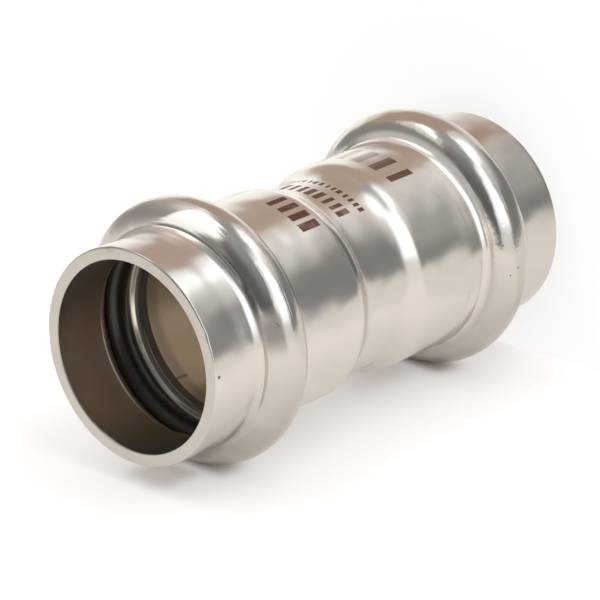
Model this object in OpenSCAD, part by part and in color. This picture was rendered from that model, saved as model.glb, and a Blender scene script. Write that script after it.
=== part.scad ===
// Straight press-fit coupling that joins two metal pipes end to end.
// One stainless tube formed with a bead near each end and a narrower stop band
// at mid length, with a rubber seal ring seated inside each bead.
// It stands on its lower end: Z is the pipe axis, the origin is the middle of
// the lower end face.

/* [Pipe] */
// Outside diameter of the pipe that each socket takes
pipe_d = 22; // [20:0.5:30]
// Gap between the pipe and the socket wall, on each side
pipe_gap = 0.15; // [0.05:0.05:0.4]

/* [Body] */
// Length from end face to end face
body_length = 60.6; // [59:0.2:90]
// Thickness of the formed tube wall
wall = 1.5; // [1:0.1:2]
// Break on the inner and outer edges of both end faces
edge_break = 0.2; // [0.1:0.05:0.4]

/* [Bead] */
// Distance from an end face to the middle of its bead
bead_height = 10.55; // [9:0.05:12]
// Outer radius of the flare that leads up from the collar at the end to the bead
flare_radius = 1.7; // [1:0.1:2.5]
// Slope of the flare where it meets the bead in a sharp crease, in degrees
flare_slope = 40; // [25:1:55]
// Outer radius of the soft crease between the bead and the sleeve
sleeve_crease = 1; // [0.4:0.1:2]
// Radius of the lips where the bore opens into the bead
lip_bend = 0.6; // [0.3:0.1:1.2]
// Distance from the middle of the bead to the lip on its collar side
collar_lip = 3.7; // [3.3:0.05:4.3]
// Distance from the middle of the bead to the lip on its sleeve side
sleeve_lip = 2.9; // [2.6:0.05:3.8]

/* [Pipe stop] */
// Distance from an end face to where its socket starts to step in
socket_depth = 24.1; // [22:0.1:25]
// How far the stop band steps in from the sockets, on each side
stop_step = 1.1; // [0.8:0.05:2]
// Inside radius of the bend that tips the wall in at each step
tip_bend = 1.5; // [0.5:0.1:2.5]
// Outside radius of the bend that brings the wall level again
level_bend = 4.7; // [2:0.1:6]

/* [Seal rings] */
// Thickness of the round rubber cord
seal_cord = 3; // [2.5:0.1:3.4]
// How far a seal ring stands in from the socket wall
seal_proud = 0.05; // [0:0.01:0.12]
// Gap between a seal ring and the bead around it
seal_gap = 0.05; // [0.02:0.01:0.2]

/* [Hidden] */
$fn = 128;

steel_colour = [0.74, 0.70, 0.66];
rubber_colour = [0.06, 0.06, 0.07];

// Overlap where two rounds run into each other, so that they cross cleanly
blend = 0.001;
// Reach of a cut past the end face that it opens
overshoot = 1;

// Inner radii of the straight walls
socket_r = pipe_d / 2 + pipe_gap;
stop_r = socket_r - stop_step;

// The seal ring sits at the middle of the bead, and the bead wraps round it
seal_r = seal_cord / 2;
chamber_r = seal_r + seal_gap;
bead_c = [socket_r - seal_proud + seal_r, bead_height];

// Height of the right triangle with that long side and that base
function leg(long_side, base) = sqrt(long_side ^ 2 - base ^ 2);

// Middle of the flare: it rises from the collar and meets the bead at its slope
flare_c = let(
    x = socket_r + wall + flare_radius - blend,
    crease_x = x - flare_radius * cos(flare_slope),
    crease_y = bead_c.y - leg(chamber_r + wall, crease_x - bead_c.x)
) [x, crease_y - flare_radius * sin(flare_slope)];

// Middle of the soft crease: it touches the bead and the sleeve
crease_c = let(
    x = socket_r + wall + sleeve_crease - blend,
    reach = chamber_r + wall + sleeve_crease - blend
) [x, bead_c.y + leg(reach, x - bead_c.x)];

// Middles of the round lips that the bore ends in on both sides of the bead
collar_lip_c = [socket_r + lip_bend - blend, bead_height - collar_lip];
sleeve_lip_c = [socket_r + lip_bend - blend, bead_height + sleeve_lip];

// Middles of the two bends in a step: the wall tips in, then comes level again
tip_c = [socket_r - tip_bend + blend, socket_depth];
level_c = let(
    x = stop_r + wall + level_bend - blend,
    reach = tip_bend + wall + level_bend - blend
) [x, tip_c.y + leg(reach, x - tip_c.x)];

// Filling between the axis and a hollow bend of radius r about c, as far as the point to
module hollow_bend(c, r, to) {
    low = c.y < to.y ? c : to;
    high = c.y < to.y ? to : c;
    difference() {
        polygon([[0, low.y], low, high, [0, high.y]]);
        translate(c) circle(r);
    }
}

// Opening from the bore into the bead: a slope from the widest part of the
// chamber that ends in a round lip about c
module lip_opening(c) {
    side = sign(bead_c.y - c.y);
    edge = bead_c - [0, side * (chamber_r - 10 * blend)];
    run = edge - c;
    turn = atan2(run.y, run.x) + side * acos(lip_bend / norm(run));
    touch = c + (lip_bend - blend) * [cos(turn), sin(turn)];
    slope = [[0, c.y], [socket_r, c.y], touch, edge, bead_c, [0, bead_c.y]];
    difference() {
        polygon(side > 0 ? slope : [for (i = [5:-1:0]) slope[i]]);
        translate(c) circle(lip_bend);
    }
}

// Half section of one socket, out to the surface that lies depth outside the bore
module socket_outline(depth) {
    square([socket_r + depth, socket_depth]);
    translate(bead_c) circle(chamber_r + depth);
    translate(tip_c) circle(tip_bend + depth);
    hollow_bend(level_c, level_bend + wall - depth, tip_c);
}

module socket_outside() {
    socket_outline(wall);
    hollow_bend(flare_c, flare_radius, bead_c);
    hollow_bend(crease_c, sleeve_crease, bead_c);
}

module socket_inside() {
    socket_outline(0);
    lip_opening(collar_lip_c);
    lip_opening(sleeve_lip_c);
}

// What is given at the lower end, and the same at the upper end
module at_both_ends() {
    children();
    translate([0, body_length]) mirror([0, 1]) children();
}

// Cuts at an end face: the mouth of the bore and the breaks on both edges
module end_cuts() {
    translate([0, -overshoot]) square([socket_r, 2 * overshoot]);
    for (r = [socket_r, socket_r + wall])
        translate([r, 0]) circle(edge_break, $fn = 4);
}

module body() {
    color(steel_colour) rotate_extrude() difference() {
        union() {
            square([stop_r + wall, body_length]);
            at_both_ends() socket_outside();
        }
        square([stop_r, body_length]);
        at_both_ends() {
            socket_inside();
            end_cuts();
        }
    }
}

module seal_ring(height) {
    color(rubber_colour) translate([0, 0, height])
        rotate_extrude() translate([bead_c.x, 0]) circle(seal_r);
}

module lower_seal_ring() {
    seal_ring(bead_height);
}

module upper_seal_ring() {
    seal_ring(body_length - bead_height);
}

body();
lower_seal_ring();
upper_seal_ring();
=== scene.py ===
"""Looks of a straight press-fit pipe coupling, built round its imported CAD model."""

from collections import namedtuple
from math import acos, atan2, cos, hypot, pi, radians, sin, sqrt

import bmesh
import bpy
from mathutils import Matrix, Vector


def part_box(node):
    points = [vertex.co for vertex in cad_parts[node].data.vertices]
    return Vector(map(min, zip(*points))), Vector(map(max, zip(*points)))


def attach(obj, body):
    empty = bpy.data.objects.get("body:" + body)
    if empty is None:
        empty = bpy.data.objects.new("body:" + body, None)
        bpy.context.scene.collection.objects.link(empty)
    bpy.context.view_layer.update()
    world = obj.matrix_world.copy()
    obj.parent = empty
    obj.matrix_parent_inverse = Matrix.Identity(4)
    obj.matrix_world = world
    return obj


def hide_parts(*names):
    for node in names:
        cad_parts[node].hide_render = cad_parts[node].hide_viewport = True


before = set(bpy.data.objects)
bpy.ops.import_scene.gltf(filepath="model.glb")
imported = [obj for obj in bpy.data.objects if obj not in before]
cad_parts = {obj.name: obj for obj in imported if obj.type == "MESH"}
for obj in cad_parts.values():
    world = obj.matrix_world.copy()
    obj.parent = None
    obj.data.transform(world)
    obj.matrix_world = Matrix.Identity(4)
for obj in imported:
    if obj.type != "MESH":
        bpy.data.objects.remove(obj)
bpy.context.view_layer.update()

bl_info = {
    "name": "Press-fit coupling",
    "version": (1, 0, 0),
    "blender": (4, 5, 0),
    "location": "View3D > Sidebar > Coupling",
    "description": "Formed steel body, seal rings and studio of a pipe coupling",
    "category": "Object",
}

MM = 0.001
BODY_LOW, BODY_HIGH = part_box("body")
RING_LOW, RING_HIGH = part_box("lower_seal_ring")

# Facets round the axis, and the most that a section's arc turns in one facet
STEPS_ROUND = 192
ARC_STEP = radians(5.5)
# Facets round the seal rings' cord
CORD_STEPS = 40
# Vertices this close are one, where a mirror or a full turn closes
WELD = 0.002 * MM
# Corners sharper than this stay crisp in the shading
CRISP_CORNER = radians(28)


def length(name, about, millimetres, **more):
    """A length property, given in millimetres and held in metres."""
    return bpy.props.FloatProperty(
        name=name, description=about, default=millimetres * MM,
        unit="LENGTH", subtype="DISTANCE", precision=5, **more)


def colour(name, about, rgb):
    """A colour property in linear light."""
    return bpy.props.FloatVectorProperty(
        name=name, description=about, default=rgb,
        subtype="COLOR", size=3, min=0, max=1)


def angle(name, about, degrees):
    """An angle property, given in degrees and held in radians."""
    return bpy.props.FloatProperty(
        name=name, description=about, default=radians(degrees),
        unit="ROTATION", subtype="ANGLE")


class CouplingSizes(bpy.types.PropertyGroup):
    """Sizes of the formed wall and the seal rings."""

    body_length: length("Body length", "From end face to end face", (BODY_HIGH[2] - BODY_LOW[2]) / MM)
    socket_r: length("Socket radius", "Inside radius of the straight walls that take the pipe", 11.15)
    wall: length("Wall", "Thickness of the formed wall", 1.5)
    edge_round: length("Edge round", "Round on the edges of the end faces", 0.2)
    bead_height: length(
        "Bead height", "From an end face to the middle of its bead",
        (RING_LOW[2] + RING_HIGH[2]) / 2 / MM)
    flare_radius: length("Flare radius", "Outer radius of the flare between collar and bead", 1.7)
    flare_slope: angle("Flare slope", "Slope of the flare where it meets the bead", 40)
    sleeve_crease: length("Sleeve crease", "Outer radius of the crease between bead and sleeve", 1.0)
    lip_bend: length("Lip bend", "Radius of the lips where the bore opens into a bead", 0.6)
    collar_lip: length("Collar lip", "From the middle of a bead to the lip on its collar side", 3.7)
    sleeve_lip: length("Sleeve lip", "From the middle of a bead to the lip on its sleeve side", 2.9)
    socket_depth: length("Socket depth", "From an end face to where the wall tips in", 24.1)
    stop_step: length("Stop step", "How far the stop band steps in", 1.1)
    tip_bend: length("Tip bend", "Inside radius of the bend that tips the wall in", 1.5)
    level_bend: length("Level bend", "Outside radius of the bend that brings it level", 4.7)
    seal_cord: length(
        "Seal cord", "Thickness of the round rubber cord", (RING_HIGH[2] - RING_LOW[2]) / MM)
    seal_gap: length("Seal gap", "Gap between a seal ring and its bead", 0.05)


class CouplingColours(bpy.types.PropertyGroup):
    """Colours of the finishes, among them painted highlights, painted shade and a painted reflection.
    """

    steel: colour("Steel", "Bare stainless steel on the outside", (0.68, 0.635, 0.568))
    # Steel inside the collars, darkened as painted shade
    mouth: colour("Mouth", "Dark, greased steel inside the collars", (0.48, 0.44, 0.38))
    # Tanned steel deeper inside: the tan is the steel's own, its paleness is painted light
    bore: colour("Bore", "Tanned steel deeper inside", (0.98, 0.86, 0.71))
    # Painted highlight on the lips beside the seal rings
    lip: colour("Lip", "Bright steel on the lips beside the seal rings", (1.0, 0.93, 0.80))
    etch: colour("Etch", "Brown laser-etched bars", (0.15, 0.068, 0.046))
    # Painted highlight on bends and on the upper bead
    painted_highlight: colour("Rubbed", "Steel rubbed bright in the bends", (0.92, 0.88, 0.83))
    # Painted brown reflection near the lower end
    tan: colour("Tan", "Brownish steel near the lower end", (0.5712, 0.489, 0.4146))
    # Dark colour of pits, crease lines and a scratch, and of painted shade and reflection on the
    # beads, at the upper step and in the bore
    grime_and_shade: colour("Grime", "Dark film in creases and pits", (0.085, 0.078, 0.070))
    rubber: colour("Rubber", "Black seal rubber", (0.010, 0.0095, 0.008))
    dust: colour("Dust", "Grey specks on the rubber", (0.08, 0.078, 0.075))
    floor: colour("Floor", "Pale studio floor", (0.93, 0.925, 0.92))
    backdrop: colour("Backdrop", "Warm white backdrop", (0.94, 0.895, 0.86))


class CouplingStudio(bpy.types.PropertyGroup):
    """Camera and light."""

    lens: bpy.props.FloatProperty(
        name="Lens", description="Focal length on a 36 mm sensor, in millimetres", default=217.1)
    ambient: bpy.props.FloatProperty(
        name="Ambient", description="Brightness of the room on matt surfaces", default=0.5)


# Node trees


class Wire:
    """A node's output. Arithmetic on it adds Math nodes to its tree."""

    def __init__(self, socket):
        self.socket = socket

    @property
    def tree(self):
        return self.socket.id_data

    @staticmethod
    def node(tree, kind, settings=None, inputs=None, output=0):
        """Add a node: its settings first, then the values or links of its sockets."""
        made = tree.nodes.new(kind)
        for name, value in (settings or {}).items():
            setattr(made, name, value)
        for name, value in (inputs or {}).items():
            if isinstance(value, Wire):
                tree.links.new(value.socket, made.inputs[name])
            else:
                made.inputs[name].default_value = value
        return Wire(made.outputs[output]) if made.outputs else made

    def more(self, output):
        """Another output of the same node."""
        return Wire(self.socket.node.outputs[output])

    def math(self, operation, *others):
        inputs = dict(enumerate((self,) + others))
        return Wire.node(self.tree, "ShaderNodeMath", {"operation": operation}, inputs)

    def swapped(self, operation, first):
        return Wire.node(self.tree, "ShaderNodeMath", {"operation": operation}, {0: first, 1: self})

    def __add__(self, other):
        return self.math("ADD", other)

    def __sub__(self, other):
        return self.math("SUBTRACT", other)

    def __mul__(self, other):
        return self.math("MULTIPLY", other)

    def __truediv__(self, other):
        return self.math("DIVIDE", other)

    def __pow__(self, other):
        return self.math("POWER", other)

    def __radd__(self, other):
        return self.swapped("ADD", other)

    def __rsub__(self, other):
        return self.swapped("SUBTRACT", other)

    def __rmul__(self, other):
        return self.swapped("MULTIPLY", other)

    def __rtruediv__(self, other):
        return self.swapped("DIVIDE", other)

    def __rpow__(self, other):
        return self.swapped("POWER", other)

    def __abs__(self):
        return self.math("ABSOLUTE")

    def ramp(self, low, high, to_low=0.0, to_high=1.0):
        """Smooth step from to_low at low to to_high at high."""
        return Wire.node(
            self.tree, "ShaderNodeMapRange", {"interpolation_type": "SMOOTHSTEP"},
            {"Value": self, "From Min": low, "From Max": high, "To Min": to_low, "To Max": to_high})

    def mix(self, first, second):
        """Mix two colours by this value."""
        return Wire.node(
            self.tree, "ShaderNodeMix", {"data_type": "RGBA"},
            {0: self, 6: first, 7: second}, 2)


def rgba(rgb, share=1.0):
    """A socket's colour value, at that share of the colour's brightness."""
    return (*(channel * share for channel in rgb), 1.0)


def new_tree(holder):
    """Empty the node tree of a material or world and return it."""
    holder.use_nodes = True
    holder.node_tree.nodes.clear()
    return holder.node_tree


class Place:
    """Where a point of the part is, in millimetres, from Object coordinates."""

    def __init__(self, tree):
        self.tree = tree
        coords = Wire.node(tree, "ShaderNodeTexCoord", output="Object")
        self.point = Wire.node(
            tree, "ShaderNodeVectorMath", {"operation": "SCALE"}, {0: coords, "Scale": 1 / MM})
        self.x = Wire.node(tree, "ShaderNodeSeparateXYZ", None, {0: self.point})
        self.y = self.x.more(1)
        self.z = self.x.more(2)
        self.r = (self.x * self.x + self.y * self.y) ** 0.5
        self.turn = self.y.math("ARCTAN2", self.x)

    def depth(self, body_length):
        """Distance from the nearer end face."""
        return self.z.math("MINIMUM", body_length / MM - self.z)

    def noise(self, scale, detail=2.0, offset=(0, 0, 0)):
        """Noise of about that many features per millimetre, from 0 to 1."""
        mapped = Wire.node(
            self.tree, "ShaderNodeMapping", None, {"Vector": self.point, "Location": offset})
        return Wire.node(
            self.tree, "ShaderNodeTexNoise", None,
            {"Vector": mapped, "Scale": scale, "Detail": detail})

    def rings(self, per_mm, offset=0.0):
        """Fine lines that run round the axis, on straight walls and on flanks."""
        along = self.z + self.r * 0.8
        spot = Wire.node(
            self.tree, "ShaderNodeCombineXYZ", None,
            {0: self.x * 0.05 + offset, 1: self.y * 0.05, 2: along * per_mm})
        return Wire.node(
            self.tree, "ShaderNodeTexNoise", None,
            {"Vector": spot, "Scale": 1.0, "Detail": 3.0, "Roughness": 0.65})

    def specks(self, per_mm, size, share):
        """Rare round specks, 1 in a speck and 0 around it."""
        cells = Wire.node(
            self.tree, "ShaderNodeTexVoronoi", None, {"Vector": self.point, "Scale": per_mm})
        chosen = Wire.node(self.tree, "ShaderNodeSeparateColor", None, {0: cells.more("Color")})
        return cells.ramp(size, size * 0.6) * chosen.ramp(share, share * 0.98)


def bump(height, strength, distance_mm, under=None):
    """Shade a height as relief, on top of the relief under it."""
    inputs = {"Height": height, "Strength": strength, "Distance": distance_mm * MM}
    if under:
        inputs["Normal"] = under
    return Wire.node(height.tree, "ShaderNodeBump", None, inputs)


def finish_material(tree, inputs):
    """Close a material with a Principled shader that has those sockets."""
    shader = Wire.node(tree, "ShaderNodeBsdfPrincipled", None, inputs)
    Wire.node(tree, "ShaderNodeOutputMaterial", None, {"Surface": shader})


def window(value, low, high, soft):
    """1 between low and high, with soft edges."""
    return value.ramp(low - soft, low + soft) * value.ramp(high + soft, high - soft)


# An area of a surface: the heights that it spans and how soft its edges are, in millimetres, the
# same round the wall, in radians, and its weight
Area = namedtuple("Area", "name low high soft start end fade weight", defaults=(1.0,))


def within(area, height, along):
    """An area's weight inside its edges, and 0 outside."""
    tall = window(height, area.low, area.high, area.soft)
    return tall * window(along, area.start, area.end, area.fade) * area.weight


# A row of plain etched bars: their middle and height in millimetres, where the row starts and
# ends round the wall and the step from bar to bar, in degrees
Row = namedtuple("Row", "middle tall start end pitch")
CLEAR_ROWS = (
    Row(38.2, 3.0, -65, -33, 8.0),
    Row(28.55, 0.9, -64, -4, 4.4),
    Row(31.25, 2.0, -62, -14, 6.2),
)
FADED_ROW = Row(20.5, 4.0, -57, -6, 11.5)


def etched_row(at, row):
    """A row of plain etched bars round the wall, each of its own width."""
    along = at.turn * (180 / pi)
    cell = (along - row.start) / row.pitch
    width = Wire.node(
        at.tree, "ShaderNodeTexWhiteNoise", {"noise_dimensions": "1D"},
        {"W": cell.math("FLOOR") + row.middle}).ramp(0.0, 1.0, 0.38, 0.70)
    bar = cell.math("FRACT").math("LESS_THAN", width) * window(along, row.start, row.end, 0.05)
    return bar * window(at.z, row.middle - row.tall / 2, row.middle + row.tall / 2, 0.06)


# Dark pits in the outside: turn about the axis in degrees, radius, height and size in millimetres
PITS = (
    (-116.8, 12.65, 60.0, 0.26),
    (-101.0, 14.90, 52.1, 0.17),
    (-102.0, 14.96, 52.0, 0.15),
    (-109.4, 14.68, 12.8, 0.16),
    (-120.9, 15.57, 11.3, 0.14),
    (-124.0, 15.18, 12.2, 0.12),
)


def pits(at):
    """1 in the pits and 0 around them."""
    made = 0.0
    for turn, r, z, size in PITS:
        spot = (r * cos(radians(turn)), r * sin(radians(turn)), z)
        away = Wire.node(
            at.tree, "ShaderNodeVectorMath", {"operation": "DISTANCE"},
            {0: at.point, 1: spot}, "Value")
        made = away.ramp(size, size * 0.5) + made
    return made


def step_reflection_and_line(at):
    """Painted dark reflection at the upper step: a sliver that tapers off round the wall, and a faint
    dark line below.
    """
    middle = at.turn.ramp(-1.35, -1.0, 35.55, 36.2)
    half_width = at.turn.ramp(-1.0, -1.5, 0.1, 0.5)
    sliver = (half_width - abs(at.z - middle)).ramp(0.0, 0.15)
    faint_line = window(at.z, 33.9, 34.2, 0.12) * 0.4
    return (sliver + faint_line) * window(at.turn, -1.75, -0.98, 0.1)


def painted_step_highlight(at):
    """Painted highlight on the bend of the upper step, wider at one end."""
    top = at.turn.ramp(-1.35, -1.0, 34.85, 35.8)
    return window(at.z, 34.5, top, 0.1) * window(at.turn, -1.75, -0.6, 0.1)


def painted_bead_highlight(at):
    """Painted highlight on the upper bead, with ragged ends that run round it."""
    jag = at.rings(4.0, 9.0).ramp(0.3, 0.7, -0.12, 0.12)
    low = at.turn.ramp(-0.31, -0.75, 52.9, 51.4)
    high = at.turn.ramp(-0.6, -0.95, 53.2, 52.75)
    return window(at.z + jag, low, high, 0.16) * window(at.turn + jag, -0.93, -0.35, 0.06)


def painted_contact_shade(at):
    """Painted shade on the side of both beads that touches the backdrop, blotched by noise."""
    on_beads = at.z.ramp(44.0, 49.0) + window(at.z, 7.5, 13.5, 1.0)
    return on_beads * at.x.ramp(-6.0, -13.5) * at.noise(0.2).ramp(0.2, 0.7, 0.5, 1.0)


# Dark crease lines, painted shade, painted highlights, a painted brown reflection, wear and haze on
# the side of the outside that faces the camera
CREASE_DARK_LINE = Area("collar_creases", 7.48, 7.60, 0.05, -1.35, -0.3, 0.08, 0.9)
BEAD_DARK_STRIP = Area("upper_bead", 51.6, 53.0, 0.2, -1.95, -1.7, 0.1, 0.65)
# Painted highlight in the lower sleeve's crease
CREASE_HIGHLIGHT = Area("lower_sleeve_crease", 13.4, 14.4, 0.12, -1.85, 0.0, 0.2)
# Painted brown reflection on the lower collar
BROWN_REFLECTION = Area("lower_collar", -1.0, 6.5, 0.4, -1.1, -0.35, 0.2)
WEAR = Area("upper_bead", 51.0, 53.1, 0.2, -0.75, 0.3, 0.15)
HAZE = (
    Area("lower_sleeve", 14.0, 25.0, 1.0, -1.68, -1.05, 0.12),
    Area("lower_sleeve_end", 14.2, 17.5, 0.8, -1.75, -0.9, 0.15, 0.8),
    Area("stop_band", 27.0, 34.0, 0.4, -1.35, -0.9, 0.15, 0.8),
    Area("lower_collar", 0.5, 6.5, 0.5, -1.6, -1.1, 0.12, 1.1),
    Area("upper_flare", 53.0, 55.8, 0.5, -0.7, 0.3, 0.2, 1.5),
    Area("upper_bead", 51.7, 52.3, 0.25, -1.55, -0.5, 0.15, 0.6),
)
# Slight rises of the wall towards a bead: heights where each starts and ends, and how much it
# rises, in millimetres
RISES = ((56.8, 53.3, 0.24), (16.4, 13.4, 0.20))


def outer_steel(colours, body_length):
    """Satin stainless steel with a drawn grain, scuffs, pits and etched bars, and with painted
    highlights, painted shade and a painted brown reflection.
    """
    material = bpy.data.materials.new("outer_steel")
    tree = new_tree(material)
    at = Place(tree)
    on_bead = at.r.ramp(12.75, 13.5)
    grain = at.rings(9.0)
    drawn = at.rings(2.6, 8.0)
    waves = at.noise(0.17, detail=1.0)
    ripples = at.noise(1.1, detail=3.0, offset=(5, 1, 3))
    patches = at.noise(0.16, detail=3.0, offset=(7, 3, 1))
    scuffs = at.rings(2.2, 4.0).ramp(0.60, 0.74) * at.noise(0.35, offset=(2, 9, 4)).ramp(0.5, 0.68)
    pitted = pits(at)

    etched = sum((etched_row(at, row) for row in CLEAR_ROWS), 0.0)
    etched = etched + etched_row(at, FADED_ROW) * at.turn.ramp(-0.45, -0.85, 0.35, 0.95)
    etched = etched * at.noise(0.5, offset=(3, 3, 9)).ramp(0.2, 0.5, 0.75, 1.0)
    # Pits, dark crease lines, a darker strip on the upper bead and the painted dark reflection at the
    # upper step
    film = within(CREASE_DARK_LINE, at.depth(body_length), at.turn).math("MAXIMUM", step_reflection_and_line(at))
    film = film.math("MAXIMUM", pitted).math("MAXIMUM", within(BEAD_DARK_STRIP, at.z, at.turn))
    # Painted highlights on the upper step, in the lower sleeve's crease and on the upper bead
    painted_highlight = painted_step_highlight(at) + within(CREASE_HIGHLIGHT, at.z, at.turn)
    bead_highlight = painted_bead_highlight(at)
    streaks = at.rings(3.0, 2.0).ramp(0.3, 0.7, 0.75, 1.0)
    hazy = sum((within(area, at.z, at.turn) for area in HAZE), 0.0) * streaks
    worn = within(WEAR, at.z, at.turn) * at.noise(0.5, detail=3.0).ramp(0.3, 0.65, 0.5, 1.0)

    shade = on_bead.mix(rgba(colours.steel), rgba(colours.steel, 0.93))
    # Painted brown reflection on the lower collar
    shade = within(BROWN_REFLECTION, at.z, at.turn).mix(shade, rgba(colours.tan))
    # Painted shade where the beads touch the backdrop, over random darker patches
    shade = (patches * 0.1 + painted_contact_shade(at) * 0.3).mix(shade, rgba(colours.grime_and_shade))
    shade = etched.mix(shade, rgba(colours.etch))
    shade = (painted_highlight + bead_highlight).mix(shade, rgba(colours.painted_highlight))
    shade = film.mix(shade, rgba(colours.grime_and_shade))
    dull = (film + hazy * 0.22 + painted_highlight * 0.2 + bead_highlight * 0.75).math("MINIMUM", 1.0)
    rough = 0.16 - on_bead * 0.06 + grain * 0.05 + patches * 0.06 + scuffs * 0.08
    rough = rough + film * 0.35 + worn * 0.3 + etched * 0.2 + bead_highlight * 0.15

    rise = sum((at.z.ramp(start, end) * height for start, end, height in RISES), 0.0)
    normal = bump(rise, 1.0, 1.0, bump(waves, 1.0, 0.38))
    normal = bump((ripples * 0.6 + drawn) * on_bead, 0.8, 0.05, normal)
    normal = bump(grain + scuffs * 0.7 - pitted * 3.0, 0.10, 0.02, normal)
    finish_material(tree, {
        "Base Color": shade, "Metallic": 1.0 - dull, "Roughness": rough, "Normal": normal})
    return material


# Bands of the bore, with painted highlights on the lips, painted shade beside the seal chambers and
# past the sleeve lips, and a scratch: depths from an end face where each starts and ends, and how soft
# that is, in millimetres
COLLAR_LIP = (7.0, 7.25, 0.05)
CHAMBER_SHADE = (12.0, 12.56, 0.06)
SLEEVE_LIP = (12.62, 12.86, 0.06)
SHADE_BAND = (12.87, 14.5, 0.05)
FAINT_SHADE_BAND = (14.5, 16.2, 0.5)
UNSHADED_LINE = Area("unshaded_line", 13.25, 13.38, 0.05, 1.4, 2.3, 0.1, 0.7)
SCRATCH = Area("scratch", 14.4, 16.2, 0.1, 1.945, 1.975, 0.006, 0.6)
# Turns where the lips keep their painted highlight, with a dimmer joint, and where the bore gets
# painted shade, in radians
LIT_LIP_TURNS = (1.02, 2.15, 0.12)
LIP_JOINT = (1.31, 1.5, 0.05)
SHADED_TURNS = ((0.3, 1.22, 0.15), (2.15, 2.6, 0.1))


def bore_steel(colours, body_length):
    """Steel inside: darkened as painted shade in the collars, tanned and painted pale deeper in, with
    painted highlights on the lips and bands of painted shade.
    """
    material = bpy.data.materials.new("bore_steel")
    tree = new_tree(material)
    at = Place(tree)
    depth = at.depth(body_length)
    grain = at.rings(7.0, 2.0)
    patches = at.noise(0.2, detail=3.0, offset=(1, 5, 8))
    mouth = depth.ramp(6.95, 6.85)
    lip = window(depth, *SLEEVE_LIP) + window(depth, *COLLAR_LIP)
    # Painted shade in a band past each sleeve lip, left out along a lit line, and fainter deeper in
    grease = window(depth, *SHADE_BAND) - within(UNSHADED_LINE, depth, at.turn)
    grease = grease + window(depth, *FAINT_SHADE_BAND) * 0.3
    # Away from these turns the lips' painted highlight turns to painted shade; in the shaded turns the
    # bore deeper in gets painted shade too
    bright = window(at.turn, *LIT_LIP_TURNS) * (1.0 - window(at.turn, *LIP_JOINT) * 0.75)
    shaded = sum((window(at.turn, *turns) for turns in SHADED_TURNS), 0.0)
    dull = lip * (1.0 - bright) * 0.9 + depth.ramp(13.5, 14.5) * shaded * 0.35
    dull = dull.math("MAXIMUM", within(SCRATCH, depth, at.turn))

    # Inside the collars the steel is darker, as painted shade
    shade = mouth.mix(rgba(colours.bore), rgba(colours.mouth))
    shade = lip.mix(shade, rgba(colours.lip))
    shade = dull.mix(shade, rgba(colours.grime_and_shade))
    # Painted shade beside the seal chamber, and growing deeper into each collar
    shade = (window(depth, *CHAMBER_SHADE) * 0.9).mix(shade, rgba(colours.grime_and_shade))
    shade = (depth.ramp(1.0, 6.5) * mouth * 0.3).mix(shade, rgba(colours.grime_and_shade))
    shade = grease.mix(shade, rgba(colours.grime_and_shade, 0.5))
    shade = (patches * 0.25).mix(shade, rgba(colours.bore, 0.6))
    rough = 0.36 - mouth * 0.10 - lip * 0.14 + grain * 0.08 + patches * 0.06
    finish_material(tree, {
        "Base Color": shade, "Metallic": 1.0 - grease * 0.6, "Roughness": rough,
        "Normal": bump(grain, 0.15, 0.03)})
    return material


def cut_steel(colours):
    """Turned end faces, matt and pale."""
    material = bpy.data.materials.new("cut_steel")
    tree = new_tree(material)
    at = Place(tree)
    tool_marks = at.rings(14.0, 6.0)
    patches = at.noise(0.5, detail=3.0)
    shade = patches.mix(rgba(colours.steel, 0.79), rgba(colours.steel, 0.90))
    finish_material(tree, {
        "Base Color": shade, "Metallic": 1.0, "Roughness": 0.34 + tool_marks * 0.12,
        "Normal": bump(tool_marks, 0.25, 0.03)})
    return material


def seal_rubber(colours):
    """Smooth black rubber with a thin film of grease and a little dust."""
    material = bpy.data.materials.new("seal_rubber")
    tree = new_tree(material)
    at = Place(tree)
    skin = at.noise(0.9)
    dust = at.specks(1.1, 0.05, 0.06)
    shade = dust.mix(rgba(colours.rubber), rgba(colours.dust))
    finish_material(tree, {
        "Base Color": shade, "Roughness": 0.24 + skin * 0.12, "Specular IOR Level": 0.6,
        "Normal": bump(skin, 0.1, 0.03)})
    return material


# Meshes


class SectionPen:
    """Draws a section in the XZ plane with bmesh operators, from its first vertex."""

    def __init__(self, bm, r, z):
        self.bm = bm
        self.tip = bm.verts.new((r, 0, z))

    def line(self, r, z, steps=1):
        """Extrude the tip to a point in equal steps."""
        stride = (Vector((r, 0, z)) - self.tip.co) / steps
        for _ in range(steps):
            self.tip = bmesh.ops.extrude_vert_indiv(self.bm, verts=[self.tip])["verts"][0]
            bmesh.ops.translate(self.bm, verts=[self.tip], vec=stride)

    def arc(self, centre, end, way):
        """Spin the tip about a centre to the angle end; way is 1 for anticlockwise."""
        start = atan2(self.tip.co.z - centre[1], self.tip.co.x - centre[0])
        swing = (end - start) * way % (2 * pi)
        steps = max(3, round(swing / ARC_STEP))
        made = bmesh.ops.spin(
            self.bm, geom=[self.tip], cent=(centre[0], 0, centre[1]), axis=(0, -1, 0),
            angle=way * swing, steps=steps, use_merge=False)
        self.tip = next(v for v in made["geom_last"] if isinstance(v, bmesh.types.BMVert))


def heading(start, end):
    """Angle of the line from one section point to another."""
    return atan2(end[1] - start[1], end[0] - start[0])


def touching(centre, radius, start, side):
    """Angle at which a line from a point touches a circle, on its left (1) or right (-1)."""
    away = hypot(start[0] - centre[0], start[1] - centre[1])
    return heading(centre, start) + side * acos(radius / away)


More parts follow.
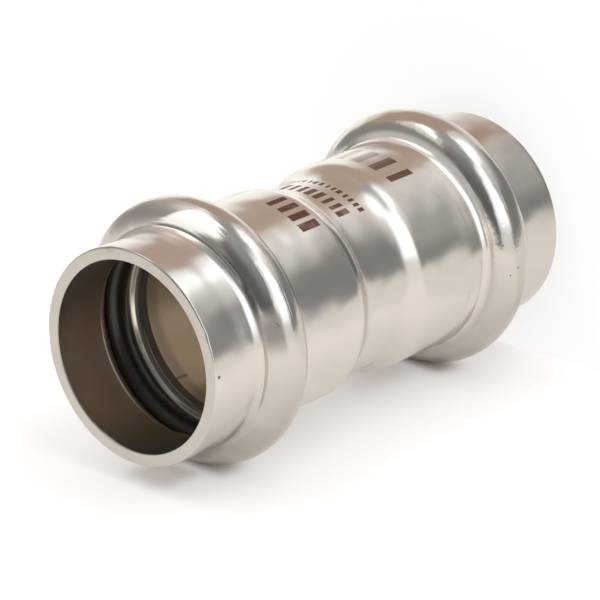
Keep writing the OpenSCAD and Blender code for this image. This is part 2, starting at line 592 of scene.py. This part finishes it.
def draw_half_section(bm, size):
    """Draw the wall's section from mid length, down the outside, up the inside."""
    inner, outer = size.socket_r, size.socket_r + size.wall
    band = outer - size.stop_step
    middle = size.body_length / 2
    chamber = size.seal_cord / 2 + size.seal_gap
    bead_r = chamber + size.wall
    bead = ((RING_HIGH[0] - RING_LOW[0] - size.seal_cord) / 2, size.bead_height)

    crease = [outer + size.sleeve_crease, 0]
    crease[1] = bead[1] + sqrt((bead_r + size.sleeve_crease) ** 2 - (crease[0] - bead[0]) ** 2)
    flare = [outer + size.flare_radius, 0]
    fold_r = flare[0] - size.flare_radius * cos(size.flare_slope)
    fold_z = bead[1] - sqrt(bead_r ** 2 - (fold_r - bead[0]) ** 2)
    flare[1] = fold_z - size.flare_radius * sin(size.flare_slope)
    tip = (inner - size.tip_bend, size.socket_depth)
    level = [band + size.level_bend, 0]
    reach = size.tip_bend + size.wall + size.level_bend
    level[1] = tip[1] + sqrt(reach ** 2 - (level[0] - tip[0]) ** 2)
    collar_lip = (inner + size.lip_bend, bead[1] - size.collar_lip)
    sleeve_lip = (inner + size.lip_bend, bead[1] + size.sleeve_lip)
    chamber_low, chamber_high = (bead[0], bead[1] - chamber), (bead[0], bead[1] + chamber)
    rise = touching(sleeve_lip, size.lip_bend, chamber_high, -1)

    pen = SectionPen(bm, band, middle)
    pen.line(band, level[1], 3)
    pen.arc(level, heading(level, tip), 1)
    pen.arc(tip, 0, -1)
    pen.line(outer, crease[1], 10)
    pen.arc(crease, heading(crease, bead), 1)
    pen.arc(bead, heading(bead, (fold_r, fold_z)), -1)
    pen.arc(flare, pi, 1)
    pen.line(outer, size.edge_round, 8)
    pen.arc((outer - size.edge_round, size.edge_round), -pi / 2, -1)
    pen.line(inner + size.edge_round, 0, 3)
    pen.arc((inner + size.edge_round, size.edge_round), pi, -1)
    pen.line(inner, collar_lip[1], 6)
    pen.arc(collar_lip, touching(collar_lip, size.lip_bend, chamber_low, 1), -1)
    pen.line(*chamber_low, 3)
    pen.arc(bead, pi / 2, 1)
    pen.line(sleeve_lip[0] + size.lip_bend * cos(rise), sleeve_lip[1] + size.lip_bend * sin(rise), 3)
    pen.arc(sleeve_lip, pi, -1)
    pen.line(inner, tip[1], 8)
    pen.arc(tip, heading(tip, level), 1)
    pen.arc(level, pi, -1)
    pen.line(band - size.wall, middle, 3)


def spin_round(bm):
    """Spin what is drawn into a closed solid of revolution about Z."""
    bmesh.ops.spin(
        bm, geom=bm.verts[:] + bm.edges[:], cent=(0, 0, 0), axis=(0, 0, 1),
        angle=2 * pi, steps=STEPS_ROUND, use_merge=True)
    bmesh.ops.remove_doubles(bm, verts=bm.verts[:], dist=WELD)
    bmesh.ops.recalc_face_normals(bm, faces=bm.faces[:])
    for face in bm.faces:
        face.smooth = True


def new_piece(name, bm, materials, node):
    """Make the object of a finished mesh, which rides and stands for a CAD node."""
    mesh = bpy.data.meshes.new(name)
    bm.to_mesh(mesh)
    bm.free()
    mesh.set_sharp_from_angle(angle=CRISP_CORNER)
    for material in materials:
        mesh.materials.append(material)
    piece = bpy.data.objects.new(name, mesh)
    bpy.context.scene.collection.objects.link(piece)
    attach(piece, "root")
    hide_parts(node)


OUTSIDE, BORE, END_FACE = range(3)
# A face this close to an end is on the end face, if its normal's Z is over this share
END_REACH = 0.05 * MM
LEVEL_SHARE = 0.7

# Nicks in the rim of the upper end: turn about the axis in degrees, radius, reach and depth
# in millimetres
NICKS = (
    (-19, 12.65, 0.7, 0.16),
    (-16, 12.65, 0.5, 0.10),
    (-94, 12.65, 0.8, 0.12),
    (126, 11.15, 0.7, 0.12),
    (131, 11.15, 0.6, 0.14),
    (118, 11.15, 0.5, 0.08),
    (62, 12.65, 0.9, 0.08),
)


def nick_rim(bm, height):
    """Press small nicks into the edges of the rim."""
    for turn, r, reach, deep in NICKS:
        spot = Vector((r * cos(radians(turn)), r * sin(radians(turn)), height / MM)) * MM
        for vert in bm.verts:
            near = 1 - (vert.co - spot).length / (reach * MM)
            if near > 0:
                vert.co.z -= deep * MM * near


def sort_faces(bm, body_length):
    """Give each face of the wall the finish of the side that it is on."""
    for face in bm.faces:
        middle = face.calc_center_median()
        outwards = face.normal.x * middle.x + face.normal.y * middle.y
        past_end = min(middle.z, body_length - middle.z)
        if past_end < END_REACH and abs(face.normal.z) > LEVEL_SHARE:
            face.material_index = END_FACE
        else:
            face.material_index = OUTSIDE if outwards >= 0 else BORE


class COUPLING_OT_formed_body(bpy.types.Operator):
    """Build the formed steel wall with its beads, steps and stop band"""

    bl_idname = "coupling.formed_body"
    bl_label = "Formed Body"

    def execute(self, context):
        size, colours = context.scene.coupling_sizes, context.scene.coupling_colours
        bm = bmesh.new()
        draw_half_section(bm, size)
        bmesh.ops.mirror(
            bm, geom=bm.verts[:] + bm.edges[:], axis="Z", merge_dist=-1,
            matrix=Matrix.Translation((0, 0, -size.body_length / 2)))
        bmesh.ops.remove_doubles(bm, verts=bm.verts[:], dist=WELD)
        spin_round(bm)
        sort_faces(bm, size.body_length)
        nick_rim(bm, size.body_length)
        if any(not edge.is_manifold for edge in bm.edges):
            raise RuntimeError("the formed body isn't closed")
        outside = outer_steel(colours, size.body_length)
        inside = bore_steel(colours, size.body_length)
        new_piece(
            "formed_body", bm, [outside, inside, cut_steel(colours)], "body")
        return {"FINISHED"}


class COUPLING_OT_seal_rings(bpy.types.Operator):
    """Build the rubber ring in each bead"""

    bl_idname = "coupling.seal_rings"
    bl_label = "Seal Rings"

    def execute(self, context):
        size = context.scene.coupling_sizes
        rubber = seal_rubber(context.scene.coupling_colours)
        ring_r = (RING_HIGH[0] - RING_LOW[0] - size.seal_cord) / 2
        heights = {"lower": size.bead_height, "upper": size.body_length - size.bead_height}
        for end, height in heights.items():
            bm = bmesh.new()
            stand_up = Matrix.Translation((ring_r, 0, height)) @ Matrix.Rotation(pi / 2, 4, "X")
            bmesh.ops.create_circle(
                bm, radius=size.seal_cord / 2, segments=CORD_STEPS, matrix=stand_up)
            spin_round(bm)
            new_piece(end + "_ring", bm, [rubber], end + "_seal_ring")
        return {"FINISHED"}


# Stage


# The camera's line of sight and its roll, and the turn of the backdrop about the part's axis
SIGHT = (0, 0.7128, -0.7013)
ROLL = radians(-113.1)
BACKDROP_TURN = radians(58.6)
# Where the middle of the upper end face is from the camera, to the right, above and ahead, in
# radii of the collar
UPPER_END = (-1.472, -0.5028, 31.3806)


class PhotoAxes:
    """Directions of the camera, and of the backdrop that both beads touch."""

    def __init__(self):
        self.ahead = Vector(SIGHT).normalized()
        level = Vector((1, 0, 0))
        roll = Matrix.Rotation(ROLL, 3, -self.ahead)
        self.right = roll @ level
        self.above = roll @ level.cross(self.ahead)
        self.up = Vector((sin(BACKDROP_TURN), -cos(BACKDROP_TURN), 0))
        self.forth = (self.ahead - self.ahead.dot(self.up) * self.up).normalized()
        self.side = self.forth.cross(self.up)

    def towards(self, azimuth, elevation):
        """Direction at an azimuth from straight ahead, clockwise, and a height, in degrees."""
        a, e = radians(azimuth), radians(elevation)
        return (self.forth * cos(a) + self.side * sin(a)) * cos(e) + self.up * sin(e)


# A panel of the light tent round the part: middle and half width of its azimuth, lowest and
# highest elevation in degrees, colours at its foot and head, elevations where they start
Panel = namedtuple("Panel", "name aim half low high foot head fade", defaults=(None, (0, 90)))
PANELS = (
    Panel("far_window", -12, 20, -8, 22, (1.35, 1.32, 1.26)),
    Panel("far_board", -82, 46, 3, 44, (0.38, 0.38, 0.375)),
    Panel("dark_board", -160, 33, 0, 68, (0.155, 0.165, 0.175), (0.35, 0.37, 0.39), (12, 66)),
    Panel("grey_board", 79.5, 38.5, 1, 54, (0.29, 0.30, 0.31), (1.0, 1.0, 1.0), (26, 54)),
    Panel("brown_board", -10, 46, 30, 82, (0.60, 0.475, 0.41)),
    Panel("roof_board", -168, 80, 66, 82, (0.45, 0.48, 0.51)),
    Panel("roof", 0, 360, 80, 91, (0.46, 0.47, 0.48)),
    Panel("left_top_softbox", -86, 31, 56, 71, (1.9, 2.0, 2.2)),
    Panel("right_softbox", 139.5, 21.5, 13, 57, (1.7, 1.8, 2.0), (1.9, 2.0, 2.2)),
    Panel("top_softbox", 94, 40, 56, 80, (1.7, 1.8, 2.0), (1.9, 2.0, 2.2)),
)
# Softness of the panels' edges in degrees, and radius of the tent in metres
PANEL_EDGE = 4
TENT_REACH = 0.12
# Half widths of the floor and the backdrop and distance of the side lamps, in metres
FLOOR_REACH = 2.0
BACKDROP_REACH = 0.25
LAMP_REACH = 0.7
# Shares of the floor and the backdrop that glow
FLOOR_GLOW = 0.75
BACKDROP_GLOW = 0.42
# Where the part is so close to the backdrop that it doesn't glow: depths from an end face, and
# the same across, all in millimetres
CONTACT = (
    Area("collar", 2.0, 8.0, 1.5, -3.2, 3.2, 1.5, 0.7),
    Area("bead", 8.6, 13.0, 1.5, -5.5, 5.5, 1.5),
    Area("sleeve", 12.0, 22.0, 4.0, -2.5, 4.5, 2.5, 0.45),
)


def stage_object(name, bm, material):
    """Make the object of a finished mesh that isn't part of the coupling."""
    mesh = bpy.data.meshes.new(name)
    bm.to_mesh(mesh)
    bm.free()
    mesh.materials.append(material)
    made = bpy.data.objects.new(name, mesh)
    bpy.context.scene.collection.objects.link(made)
    return made


def shine(material, shade):
    """Close a material that only shines."""
    finish_material(material.node_tree, {
        "Base Color": rgba((0, 0, 0)), "Specular IOR Level": 0.0,
        "Emission Color": shade, "Emission Strength": 1.0})
    material.cycles.emission_sampling = "NONE"


def only_reflected(board):
    """Show a board to the metal alone."""
    board.visible_camera = False
    board.visible_diffuse = False
    board.visible_shadow = False
    board.visible_transmission = False


def light_tent(axes, middle):
    """A dome of panels that only the metal sees, over the side that faces up in the photo."""
    material = bpy.data.materials.new("light_tent")
    tree = new_tree(material)
    spot = Wire.node(
        tree, "ShaderNodeVectorMath", {"operation": "SUBTRACT"},
        {0: Wire.node(tree, "ShaderNodeTexCoord", output="Object"), 1: middle})

    def along(axis):
        return Wire.node(
            tree, "ShaderNodeVectorMath", {"operation": "DOT_PRODUCT"}, {0: spot, 1: axis}, "Value")

    azimuth = along(axes.side).math("ARCTAN2", along(axes.forth)) * (180 / pi)
    elevation = (along(axes.up) / TENT_REACH).math("ARCSINE") * (180 / pi)
    shade = rgba((1, 1, 1))
    for panel in PANELS:
        off = abs((azimuth - panel.aim).math("WRAP", 180, -180))
        inside = off.ramp(panel.half + PANEL_EDGE, panel.half - PANEL_EDGE) * window(
            elevation, panel.low, panel.high, PANEL_EDGE)
        tint = elevation.ramp(*panel.fade).mix(rgba(panel.foot), rgba(panel.head or panel.foot))
        shade = inside.mix(shade, tint)
    shine(material, shade)

    bm = bmesh.new()
    bmesh.ops.create_uvsphere(
        bm, u_segments=96, v_segments=48, radius=TENT_REACH, matrix=Matrix.Translation(middle))
    bmesh.ops.bisect_plane(
        bm, geom=bm.verts[:] + bm.edges[:] + bm.faces[:],
        plane_co=middle, plane_no=axes.up, clear_inner=True)
    only_reflected(stage_object("light_tent", bm, material))


def pale_surface(name, rgb, glow, touched=None):
    """Matt pale board of which a share glows, less where it is touched. Its back is clear."""
    material = bpy.data.materials.new(name)
    tree = new_tree(material)
    if touched:
        glow = glow * (1.0 - touched(Place(tree)))
    matt = Wire.node(tree, "ShaderNodeBsdfDiffuse", None, {"Color": rgba(rgb)})
    white = Wire.node(tree, "ShaderNodeEmission", None, {"Strength": 1.0})
    matt = Wire.node(tree, "ShaderNodeMixShader", None, {0: glow, 1: matt, 2: white})
    clear = Wire.node(tree, "ShaderNodeBsdfTransparent")
    back = Wire.node(tree, "ShaderNodeNewGeometry", output="Backfacing")
    shader = Wire.node(tree, "ShaderNodeMixShader", None, {0: back, 1: matt, 2: clear})
    Wire.node(tree, "ShaderNodeOutputMaterial", None, {"Surface": shader})
    return material


def pale_floor(colours):
    """Lay the floor that the part stands on."""
    bm = bmesh.new()
    bmesh.ops.create_grid(bm, x_segments=1, y_segments=1, size=FLOOR_REACH)
    floor = stage_object("floor", bm, pale_surface("pale_floor", colours.floor, FLOOR_GLOW))
    floor.visible_glossy = False
    floor.visible_shadow = False


def upright_backdrop(axes, middle, size, colours):
    """Stand a pale board against both beads, which shows the part's shadow."""
    across = Vector((0, 0, 1)).cross(axes.up)

    def touched(at):
        off = at.x * across.x + at.y * across.y
        depth = at.depth(size.body_length)
        collar, bead, sleeve = (within(area, depth, off) for area in CONTACT)
        return collar.math("MAXIMUM", bead).math("MAXIMUM", sleeve)

    crest = (BODY_HIGH[0] - BODY_LOW[0]) / 2
    turn = Matrix((across, Vector((0, 0, 1)), axes.up)).transposed().to_4x4()
    bm = bmesh.new()
    bmesh.ops.create_grid(
        bm, x_segments=1, y_segments=1, size=BACKDROP_REACH,
        matrix=Matrix.Translation(middle - axes.up * crest) @ turn)
    material = pale_surface("pale_backdrop", colours.backdrop, BACKDROP_GLOW, touched)
    backdrop = stage_object("backdrop", bm, material)
    backdrop.visible_shadow = False


def area_lamp(name, place, aim, side, watts):
    """Hang a square lamp that the metal doesn't mirror."""
    data = bpy.data.lights.new(name, "AREA")
    data.shape = "SQUARE"
    data.size = side
    data.energy = watts
    lamp = bpy.data.objects.new(name, data)
    lamp.location = place
    lamp.rotation_euler = (aim - place).to_track_quat("-Z", "Y").to_euler()
    lamp.visible_glossy = False
    bpy.context.scene.collection.objects.link(lamp)


def white_room(scene, ambient):
    """Surround the stage with white, which lights matt surfaces less than it shows."""
    scene.world = bpy.data.worlds.new("room")
    tree = new_tree(scene.world)
    path = Wire.node(tree, "ShaderNodeLightPath", output="Is Camera Ray")
    seen = path.math("MAXIMUM", path.more("Is Glossy Ray"))
    seen = seen.math("MAXIMUM", path.more("Is Transmission Ray"))
    room, white = (
        Wire.node(tree, "ShaderNodeBackground", None, {"Strength": strength, "Color": rgba((1, 1, 1))})
        for strength in (ambient, 1.0))
    shader = Wire.node(tree, "ShaderNodeMixShader", None, {0: seen, 1: room, 2: white})
    Wire.node(tree, "ShaderNodeOutputWorld", None, {"Surface": shader})


def photo_camera(scene, axes, size, lens):
    """Stand the camera at the photo's viewing angle."""
    data = bpy.data.cameras.new("camera")
    data.sensor_width = 36
    data.lens = lens
    data.clip_start = 0.01
    camera = bpy.data.objects.new("camera", data)
    right, above, ahead = UPPER_END
    place = Vector((0, 0, size.body_length)) - (size.socket_r + size.wall) * (
        right * axes.right + above * axes.above + ahead * axes.ahead)
    turn = Matrix((axes.right, axes.above, -axes.ahead)).transposed().to_4x4()
    camera.matrix_world = Matrix.Translation(place) @ turn
    scene.collection.objects.link(camera)
    scene.camera = camera


class COUPLING_OT_stage(bpy.types.Operator):
    """Set up the floor, backdrop, light tent, lamps, room and camera"""

    bl_idname = "coupling.stage"
    bl_label = "Stage"

    def execute(self, context):
        scene = context.scene
        size, colours, studio = scene.coupling_sizes, scene.coupling_colours, scene.coupling_studio
        axes = PhotoAxes()
        middle = Vector((0, 0, size.body_length / 2))
        pale_floor(colours)
        upright_backdrop(axes, middle, size, colours)
        light_tent(axes, middle)
        area_lamp("left_lamp", middle + axes.towards(-100, 62) * LAMP_REACH, middle, 0.5, 1.4)
        area_lamp("right_lamp", middle + axes.towards(130, 62) * LAMP_REACH, middle, 0.5, 2.2)
        area_lamp("top_lamp", Vector((0.1, -0.15, 0.8)), middle, 0.6, 2.6)
        white_room(scene, studio.ambient)
        photo_camera(scene, axes, size, studio.lens)
        scene.view_settings.view_transform = "Standard"
        return {"FINISHED"}


class COUPLING_PT_panel(bpy.types.Panel):
    """Lists the coupling's build steps"""

    bl_idname = "COUPLING_PT_panel"
    bl_label = "Press-Fit Coupling"
    bl_space_type = "VIEW_3D"
    bl_region_type = "UI"
    bl_category = "Coupling"

    def draw(self, context):
        for step in STEPS:
            self.layout.operator(step.bl_idname)


STEPS = (COUPLING_OT_formed_body, COUPLING_OT_seal_rings, COUPLING_OT_stage)
GROUPS = {
    "coupling_sizes": CouplingSizes,
    "coupling_colours": CouplingColours,
    "coupling_studio": CouplingStudio,
}
CLASSES = (*GROUPS.values(), *STEPS, COUPLING_PT_panel)


def register():
    for cls in CLASSES:
        bpy.utils.register_class(cls)
    for name, group in GROUPS.items():
        setattr(bpy.types.Scene, name, bpy.props.PointerProperty(type=group))


def unregister():
    for name in GROUPS:
        delattr(bpy.types.Scene, name)
    for cls in reversed(CLASSES):
        bpy.utils.unregister_class(cls)


def main():
    register()
    bpy.ops.coupling.formed_body()
    bpy.ops.coupling.seal_rings()
    bpy.ops.coupling.stage()


if __name__ == "__main__":
    main()
